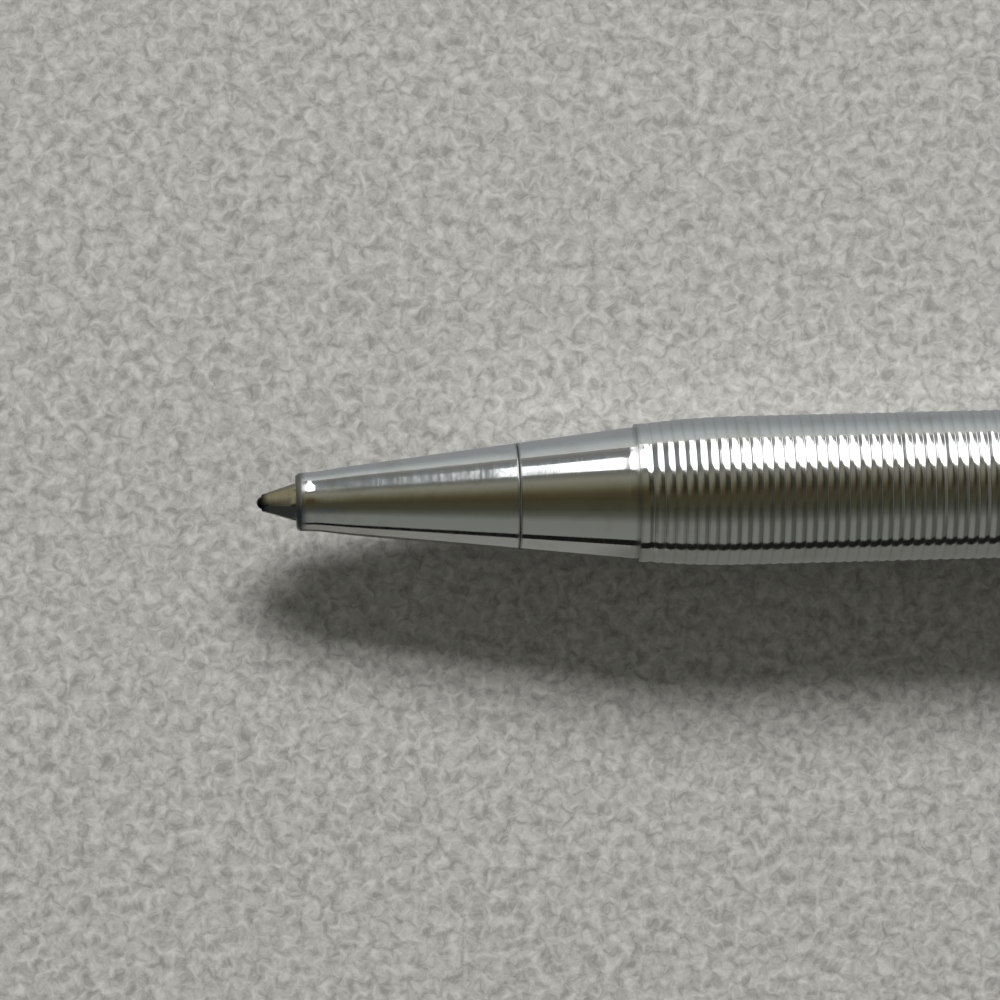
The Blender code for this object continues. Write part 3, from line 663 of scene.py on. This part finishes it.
def springMesh(name, path, spec):
    bm = bmesh.new()
    rows = []
    aside = Vector((0.3, 0.1, 0.95))  # a way that the wire never runs
    for i, centre in enumerate(path):
        ahead = (path[min(i + 1, len(path) - 1)] - path[max(i - 1, 0)]).normalized()
        across = ahead.cross(aside).normalized()
        other = ahead.cross(across)
        row = []
        for k in range(spec["sides"]):
            turn = 2 * math.pi * k / spec["sides"]
            out = (across * math.cos(turn) + other * math.sin(turn)) * spec["wire"] / 2
            row.append(bm.verts.new((centre + out) * mm))
        rows.append(row)
    for here, there in zip(rows, rows[1:]):
        for k in range(spec["sides"]):
            bm.faces.new((here[k - 1], here[k], there[k], there[k - 1]))
    bm.faces.new(rows[0])
    bm.faces.new(rows[-1])
    return meshFrom(name, bm, 50)


def makeSprings():
    spec = returnSpring
    path = [Vector(place) for place in coil(spec, spec["start"], spec["end"] - spec["start"])]
    mesh = springMesh("returnSpring", path, spec)
    mesh.transform(penPlace)
    piece = bpy.data.objects.new("returnSpring", mesh)
    scene.collection.objects.link(piece)
    mesh.materials.append(steel)
    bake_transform(piece)
    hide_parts("return_spring")
    spec = clipSpring
    path = [Vector((spec["x"] + x, y, z)) for z, x, y in coil(spec, spec["foot"], spec["rise"])]
    mesh = springMesh("clipSpring", path, spec)
    piece = dress("clipSpring", mesh, steel, "cap", "drawn_steel", "clip_spring")
    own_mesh(piece)


makeSprings()
print("springs made")


# clip: bead at the tip, long arm with rounded edges, neck through the cap, tail over its spring

clip = {
    "width": 2.80, "tipWidth": 2.10, "edge": 0.28, "tipX": 87.6,
    "pivot": (126.5, 2.30), "pinHole": 0.56, "pinHoleLength": 6.0,
    # side view, millimetres along the pen and out from its axis: a point, or a curve's handle, end and steps
    "outline": [
        (87.62, 6.02), ((88.3, 4.92), (89.6, 4.92), 8), ((90.9, 4.92), (92.6, 5.74), 8),  # bead
        ((98.0, 5.98), (106.0, 6.00), 6), (115.0, 6.0), (123.4, 5.96), ((125.3, 5.90), (125.3, 4.60), 8),
        (125.3, 1.80), (125.45, 1.40), (125.9, 1.22), (131.0, 1.25), (131.2, 1.45), (131.2, 2.75),  # tail
        (131.0, 2.92), (128.5, 3.08), (127.9, 3.35), (127.7, 3.95),
        (127.72, 5.30), ((127.7, 7.0), (125.2, 7.0), 10), (118.0, 7.0), (112.0, 7.0), (105.0, 6.94),  # arm
        ((96.0, 6.86), (91.0, 6.62), 6), ((87.9, 6.46), (87.62, 6.02), 8),
    ],
}


def bezier(a, b, c, count):  # quadratic curve, first point left out
    points = []
    for i in range(1, count + 1):
        t = i / count
        points.append(((1 - t) ** 2 * a[0] + 2 * t * (1 - t) * b[0] + t * t * c[0],
                       (1 - t) ** 2 * a[1] + 2 * t * (1 - t) * b[1] + t * t * c[1]))
    return points


def makeClip():
    outline = []
    for step in clip["outline"]:
        outline += bezier(outline[-1], *step) if len(step) == 3 else [step]
    outline.pop()  # the last curve ends where the outline starts
    pivotX, pivotZ = clip["pivot"]
    bm = bmesh.new()
    side = bm.faces.new([bm.verts.new(Vector((x, -clip["width"] / 2, z)) * mm) for x, z in outline])
    drawn = bmesh.ops.extrude_face_region(bm, geom=[side])
    far = [v for v in drawn["geom"] if isinstance(v, bmesh.types.BMVert)]
    bmesh.ops.translate(bm, verts=far, vec=(0, clip["width"] * mm, 0))
    armLength = (pivotX - clip["tipX"]) * mm
    for v in bm.verts:
        towardsTip = max(0.0, (pivotX * mm - v.co.x) / armLength)
        v.co.y *= 1 + towardsTip * (clip["tipWidth"] / clip["width"] - 1)
    bmesh.ops.recalc_face_normals(bm, faces=bm.faces)
    rims = [e for e in bm.edges if e.verts[0].co.y * e.verts[1].co.y > 0]  # both ends on one side of the clip
    bmesh.ops.bevel(bm, geom=rims, offset=clip["edge"] * mm, segments=4, profile=0.5, affect="EDGES")
    mesh = meshFrom("pocketClip", bm, 32)
    piece = dress("pocketClip", mesh, plainSilver, "clip", "polished_silver", "clip")
    bm = bmesh.new()
    bmesh.ops.create_cone(bm, cap_ends=True, segments=32, radius1=clip["pinHole"] * mm,
                          radius2=clip["pinHole"] * mm, depth=clip["pinHoleLength"] * mm)
    bmesh.ops.rotate(bm, verts=bm.verts, matrix=Matrix.Rotation(math.pi / 2, 3, "X"))
    bmesh.ops.translate(bm, verts=bm.verts, vec=Vector((pivotX, 0, pivotZ)) * mm)
    applyBoolean(piece, setOnPen("pinHole", meshFrom("pinHole", bm, 30)))


makeClip()
print("clip made")


# inner pieces keep their frame shape and get their stock's finish

innerFinish = {
    "barrel_bush": brass, "guide_tube": brass, "cap_bush": brass, "cam_sleeve": brass, "clip_housing": brass,
    "refill_tube": steel, "retaining_ring": steel, "push_pin": steel, "clip_pin": steel,
    "plunger": acetal, "thrust_washer": nylon,
}
for node, finish in innerFinish.items():
    inner = frame["nodes"][node]
    inner.data.materials.clear()
    inner.data.materials.append(finish)
    inner.data.shade_smooth()
    inner.data.set_sharp_from_angle(angle=math.radians(30))
print("inner pieces finished")


# stage: pale board, window light from behind, cards that only the metal sees

stage = {
    "boardSize": 6.0, "boardDrop": 0.02,  # metres across, and millimetres under the pen
    "lampDistance": 2.0, "lampRadiance": 34.0,
    "lampAzimuth": (-10, 30), "lampElevation": (29, 42.5),  # degrees; azimuth 0 is +Y, positive towards +X
}
# uncoated board: matte pale grey, felted in clumps of fibres with darker flecks between them
boardLook = {"board": "#bcbbb7", "fleck": "#888783", "fibreMm": 0.75, "feltSpan": (0.33, 0.67),
             "roughness": 0.9, "specular": 0.2}
# millimetres along the pen, behind its axis and under it
bounce = {"reach": (14.0, 136.5), "away": 4.6, "below": 1.8, "high": 1.5, "radiance": 1.06}
# the window as the metal sees it: corners as azimuth and elevation, and brightness
windowColour = "#fbfdff"
windowPanes = {
    "windowTop": ([(-2, 34), (60, 34), (60, 42), (30, 51), (20, 53), (8, 53), (0, 50.5), (-2, 49.3)], 2.2),
    "windowSide": ([(-7.8, 24.5), (-2, 22), (-2, 49.3), (-10.9, 44.5), (-9.2, 34)], 2.0),
    "windowLow": ([(-2, 1), (13, 1), (27, 20), (40, 36), (-2, 36), (-7.8, 24.5), (-5.2, 20), (-3.6, 16),
                   (-2.2, 10)], 2.2),
}
# the lit board behind the pen as the metal sees it, brighter towards the window: millimetres out and colour
boardSheen = [(3, "#8b8c8e"), (13, "#94989b"), (19, "#a0a7a8"), (30, "#b2b8b9"), (66, "#bdc1c1"),
              (200, "#bdc1c1")]


def makeFloor():
    material, tree, shader = newMaterial("uncoatedBoardMatte")
    coords = addNode(tree, "TexCoord").outputs["Object"]
    space = addNode(tree, "Mapping", {"Vector": coords, "Scale": (1 / mm,) * 3})
    fibres = addNode(tree, "TexNoise", {"Vector": space, "Scale": 1 / boardLook["fibreMm"],
                                        "Detail": 4.5, "Roughness": 0.66, "Distortion": 0.6})
    felted = addNode(tree, "MapRange", {"Value": fibres, "From Min": boardLook["feltSpan"][0],
                                        "From Max": boardLook["feltSpan"][1]})
    colour = addNode(tree, "Mix", {"Factor": felted, 6: hexLinear(boardLook["fleck"]),
                                   7: hexLinear(boardLook["board"])}, data_type="RGBA")
    setInputs(tree, shader, {"Base Color": colour, "Roughness": boardLook["roughness"],
                             "Specular IOR Level": boardLook["specular"]})
    half = stage["boardSize"] / 2
    mesh = bpy.data.meshes.new("board")
    mesh.from_pydata([(-half, -half, 0), (half, -half, 0), (half, half, 0), (-half, half, 0)], [],
                     [(0, 1, 2, 3)])
    floor = bpy.data.objects.new("board", mesh)
    floor.location.z = -stage["boardDrop"] * mm
    mesh.materials.append(material)
    scene.collection.objects.link(floor)


def bearing(azimuth, elevation):
    azimuth, elevation = math.radians(azimuth), math.radians(elevation)
    return Vector((math.sin(azimuth) * math.cos(elevation), math.cos(azimuth) * math.cos(elevation),
                   math.sin(elevation)))


def makeLamp():  # soft key light, the size of the sky in the window; the panes give its reflection
    (azLow, azHigh), (elLow, elHigh) = stage["lampAzimuth"], stage["lampElevation"]
    distance = stage["lampDistance"]
    way = bearing((azLow + azHigh) / 2, (elLow + elHigh) / 2)
    wide = 2 * distance * math.tan(math.radians(azHigh - azLow) / 2) * Vector(way.xy).length
    high = 2 * distance * math.tan(math.radians(elHigh - elLow) / 2)
    hangLamp("windowLight", viewTarget + way * distance, way, wide, high, stage["lampRadiance"])


def makeBounce():  # window light that the barrel throws back on the board behind it
    left, right = bounce["reach"]
    middle = axisPoint + Vector(((left + right) / 2, bounce["away"], -bounce["below"])) * mm
    back = Vector((0, -1, 1)).normalized()
    hangLamp("barrelBounce", middle, back, (right - left) * mm, bounce["high"] * mm, bounce["radiance"])


def hangLamp(name, place, back, wide, high, radiance):  # shines away from back, and shows in no reflection
    lamp = bpy.data.lights.new(name, "AREA")
    lamp.shape = "RECTANGLE"
    lamp.size, lamp.size_y = wide, high
    lamp.energy = radiance * math.pi * wide * high
    light = bpy.data.objects.new(name, lamp)
    light.location = place
    light.rotation_euler = back.to_track_quat("Z", "Y").to_euler()
    light.visible_camera = False
    light.visible_glossy = False
    scene.collection.objects.link(light)


def makeCard(name, corners, colours, strength=1.0, fade=None):  # plain glowing card, seen only in reflections
    material = bpy.data.materials.new(name)
    material.use_nodes = True
    tree = material.node_tree
    tree.nodes.clear()
    glow = addNode(tree, "Emission", {"Strength": strength})
    if isinstance(colours, str):
        setInputs(tree, glow, {"Color": hexLinear(colours)})
    else:  # colours by distance across the card
        farthest = colours[-1][0]
        coords = addNode(tree, "TexCoord").outputs["Object"]
        across = addNode(tree, "SeparateXYZ", {"Vector": coords}).outputs["Y"]
        out = addNode(tree, "MapRange", {"Value": across, "From Min": axisPoint.y,
                                         "From Max": axisPoint.y + farthest * mm})
        ramp = addNode(tree, "ValToRGB", {"Fac": out},
                       stops=[(away / farthest, code) for away, code in colours])
        setInputs(tree, glow, {"Color": ramp})
    mesh = bpy.data.meshes.new(name)
    if fade:
        softCard(mesh, corners, fade)
        cover = addNode(tree, "Attribute", attribute_name="cover").outputs["Fac"]
        clear = addNode(tree, "BsdfTransparent")
        glow = addNode(tree, "MixShader", {0: cover, 1: clear, 2: glow})
    else:
        mesh.from_pydata(corners, [], [range(len(corners))])
    addNode(tree, "OutputMaterial", {"Surface": glow})
    mesh.materials.append(material)
    card = bpy.data.objects.new(name, mesh)
    scene.collection.objects.link(card)
    for ray in ("camera", "diffuse", "shadow", "transmission", "volume_scatter"):
        setattr(card, "visible_" + ray, False)


def softCard(mesh, corners, fade):  # four sides that thin out over a width, half of it outside the side's line
    start, across, far, up = [Vector(corner) for corner in corners]
    sideways, upward = (across - start).normalized() * mm / 2, (up - start).normalized() * mm / 2
    left, right = -fade["left"] * sideways, fade["right"] * sideways
    low, high = -fade["low"] * upward, fade["high"] * upward
    spread = ((start, left + low), (across, right + low), (far, right + high), (up, left + high))
    rims = [corner + way for corner, way in spread] + [corner - way for corner, way in spread]
    mesh.from_pydata(rims, [], [(4, 5, 6, 7), (0, 1, 5, 4), (1, 2, 6, 5), (2, 3, 7, 6), (3, 0, 4, 7)])
    mesh.attributes.new("cover", "FLOAT", "POINT").data.foreach_set("value", [0.0] * 4 + [1.0] * 4)


# cards in millimetres: out from the pen's axis or along the frame's x, and heights over the table
cards = {
    "reach": (-90.0, 90.0),
    "flat": 0.03, "foot": 0.1,  # how high cards on the board lie, and where standing ones start
    # lit board in front of the pen, and the part of it that the thicker barrel shades
    "boardNear": 6.8, "boardFar": 33.0, "boardColour": "#868682",
    "shadeReach": (-47.0, 90.0), "shadeFlat": 0.06, "shadeColour": "#72726e",
    "shadeFade": {"left": 3.0, "right": 0, "low": 0, "high": 0},
    # dark room beyond the edge of the board
    "edgeFar": 200.0, "edgeHigh": 10.0, "edgeReach": (-300.0, 300.0), "edgeColour": "#171716",
    # shade in front of the writing point
    "tipAway": 5.0, "tipHigh": 15.0, "tipReach": (-75.0, -66.3), "tipColour": "#3f454e",
    "tipFade": {"left": 0, "right": 2.4, "low": 0, "high": 4.0},
    # shade to the left of it, and behind that a glow; these spans run towards +Y
    "leftX": -75.0, "leftSpan": (-5.0, 3.0), "leftHigh": 20.0, "leftColour": "#35363a",
    "leftFade": {"left": 0, "right": 14.0, "low": 0, "high": 14.0},
    "glowX": -75.5, "glowSpan": (-4.0, 40.0), "glowHigh": 40.0, "glowColour": "#aeaca0",
    "glowFade": {"left": 5.0, "right": 12.0, "low": 0, "high": 20.0},
}


def stripAlong(near, far, reach=cards["reach"]):  # strip along the pen, from one (away, height) to another
    left, right = reach
    corners = []
    for (away, height), xs in ((near, (left, right)), (far, (right, left))):
        corners += [(x * mm, axisPoint.y - away * mm, height * mm) for x in xs]
    return corners


def cardAcross(x, span, high):  # standing card across the pen's line
    near, far = [axisPoint.y + y * mm for y in span]
    foot = cards["foot"]
    return [(x * mm, y, z * mm) for y, z in ((near, foot), (far, foot), (far, high), (near, high))]


def makeCards():
    for name, (corners, brightness) in windowPanes.items():
        makeCard(name, [viewTarget + bearing(*corner) * stage["lampDistance"] for corner in corners],
                 windowColour, brightness)
    near, far, away = cards["boardNear"], cards["boardFar"], cards["tipAway"]
    flat, shadeFlat = cards["flat"], cards["shadeFlat"]
    makeCard("boardFront", stripAlong((near, flat), (far, flat)), cards["boardColour"])
    makeCard("boardShade", stripAlong((near, shadeFlat), (far, shadeFlat), cards["shadeReach"]),
             cards["shadeColour"], fade=cards["shadeFade"])
    makeCard("boardBack", stripAlong((-boardSheen[0][0], flat), (-boardSheen[-1][0], flat)), boardSheen)
    makeCard("darkEdge", stripAlong((far, flat), (cards["edgeFar"], cards["edgeHigh"]), cards["edgeReach"]),
             cards["edgeColour"])
    makeCard("tipShade", stripAlong((away, cards["foot"]), (away, cards["tipHigh"]), cards["tipReach"]),
             cards["tipColour"], fade=cards["tipFade"])
    makeCard("leftShade", cardAcross(cards["leftX"], cards["leftSpan"], cards["leftHigh"]),
             cards["leftColour"], fade=cards["leftFade"])
    makeCard("leftGlow", cardAcross(cards["glowX"], cards["glowSpan"], cards["glowHigh"]),
             cards["glowColour"], fade=cards["glowFade"])


# what the metal sees of the room: elevation in degrees and colour
room = {
    "front": [(0, "#7b7d79"), (36, "#777974"), (49, "#585a52"), (60, "#45463a"), (75, "#42402f"),
              (90, "#423829")],
    "back": [(0, "#888987"), (9, "#737371"), (18, "#757a7c"), (40, "#7e8487"), (50, "#6a6b63"), (60, "#838276"),
             (67, "#7a796b"), (73, "#6b6a58"), (78, "#595541"), (84, "#483f2d"), (90, "#423829")],
    "turn": 0.12,  # how far to both sides of the pen's line the front passes into the back
    "walls": "#a9a9a5", "wallsStart": 0.42, "wallsFull": 0.70,
    # share of the front and of the back that is left, by how far sideways
    "sides": [(-0.34, "#b4b4b0"), (-0.19, "#ffffff"), (0.06, "#ffffff"), (0.25, "#b4b4b0")],
    "backSides": [(-0.44, "#7c7c78"), (-0.30, "#ffffff"), (0.00, "#ffffff"), (0.16, "#7c7c78")],
    "sidesHeight": (70, 56), "backHeight": (52, 62),  # degrees between which that shade comes in
}


def makeWorld():
    world = bpy.data.worlds.new("room")
    scene.world = world
    world.use_nodes = True
    tree = world.node_tree
    tree.nodes.clear()
    way = addNode(tree, "TexCoord").outputs["Generated"]
    parts = addNode(tree, "SeparateXYZ", {"Vector": way}).outputs
    rise = addNode(tree, "Math", {0: parts["Z"]}, operation="ARCSINE")
    height = addNode(tree, "Math", {0: rise, 1: math.pi / 2}, operation="DIVIDE")
    behind = addNode(tree, "MapRange", {"Value": parts["Y"], "From Min": -room["turn"],
                                        "From Max": room["turn"]})
    sideways = addNode(tree, "Math", {0: parts["X"], 1: 0.5, 2: 0.5}, operation="MULTIPLY_ADD")
    front, back = [addNode(tree, "ValToRGB", {"Fac": height},
                           stops=[(degrees / 90, code) for degrees, code in room[side]])
                   for side in ("front", "back")]
    # darker to both sides of the one who writes, and high up to both sides of the window
    halves = []
    for seen, side, span in ((front, "sides", "sidesHeight"), (back, "backSides", "backHeight")):
        shade = addNode(tree, "ValToRGB", {"Fac": sideways},
                        stops=[((x + 1) / 2, code) for x, code in room[side]])
        share = addNode(tree, "MapRange", {"Value": height, "From Min": room[span][0] / 90,
                                           "From Max": room[span][1] / 90})
        halves.append(addNode(tree, "Mix", {"Factor": share, 6: seen, 7: shade}, data_type="RGBA",
                              blend_type="MULTIPLY"))
    both = addNode(tree, "Mix", {"Factor": behind, 6: halves[0], 7: halves[1]}, data_type="RGBA")
    # pale walls to the left and right
    reach = addNode(tree, "Math", {0: parts["X"]}, operation="ABSOLUTE")
    walls = addNode(tree, "MapRange", {"Value": reach, "From Min": room["wallsStart"],
                                       "From Max": room["wallsFull"]})
    whole = addNode(tree, "Mix", {"Factor": walls, 6: both, 7: hexLinear(room["walls"])}, data_type="RGBA")
    roomLight = addNode(tree, "Background", {"Color": whole, "Strength": 1.0})
    addNode(tree, "OutputWorld", {"Surface": roomLight})


camera = {
    "targetX": 15.2, "below": 0.19,  # picture centre, in millimetres from the ball and below the axis
    "lean": 3.3, "roll": 1.45, "fieldMm": 62.5, "fieldDegrees": 10.0, "sensorMm": 36.0,
    "sees": (0.01, 20),  # metres
}
viewTarget = axisPoint + Vector((camera["targetX"] * mm, -camera["below"] * mm, 0))


def makeCamera():
    lens = bpy.data.cameras.new("camera")
    lens.sensor_fit = "HORIZONTAL"
    lens.sensor_width = camera["sensorMm"]
    half = math.radians(camera["fieldDegrees"] / 2)
    lens.lens = lens.sensor_width / 2 / math.tan(half)
    distance = camera["fieldMm"] / 2 * mm / math.tan(half)
    lean, roll = math.radians(camera["lean"]), math.radians(camera["roll"])
    back = Vector((-math.sin(lean), 0, math.cos(lean)))
    up = Vector((math.sin(roll), math.cos(roll), 0))
    right = up.cross(back).normalized()
    up = back.cross(right)
    place = Matrix((right, up, back)).transposed().to_4x4()
    place.translation = viewTarget + back * distance
    shot = bpy.data.objects.new("camera", lens)
    shot.matrix_world = place
    lens.clip_start, lens.clip_end = camera["sees"]
    scene.collection.objects.link(shot)
    scene.camera = shot


makeFloor()
makeLamp()
makeBounce()
makeCards()
makeWorld()
makeCamera()
scene.view_settings.view_transform = "Standard"
print("stage made")
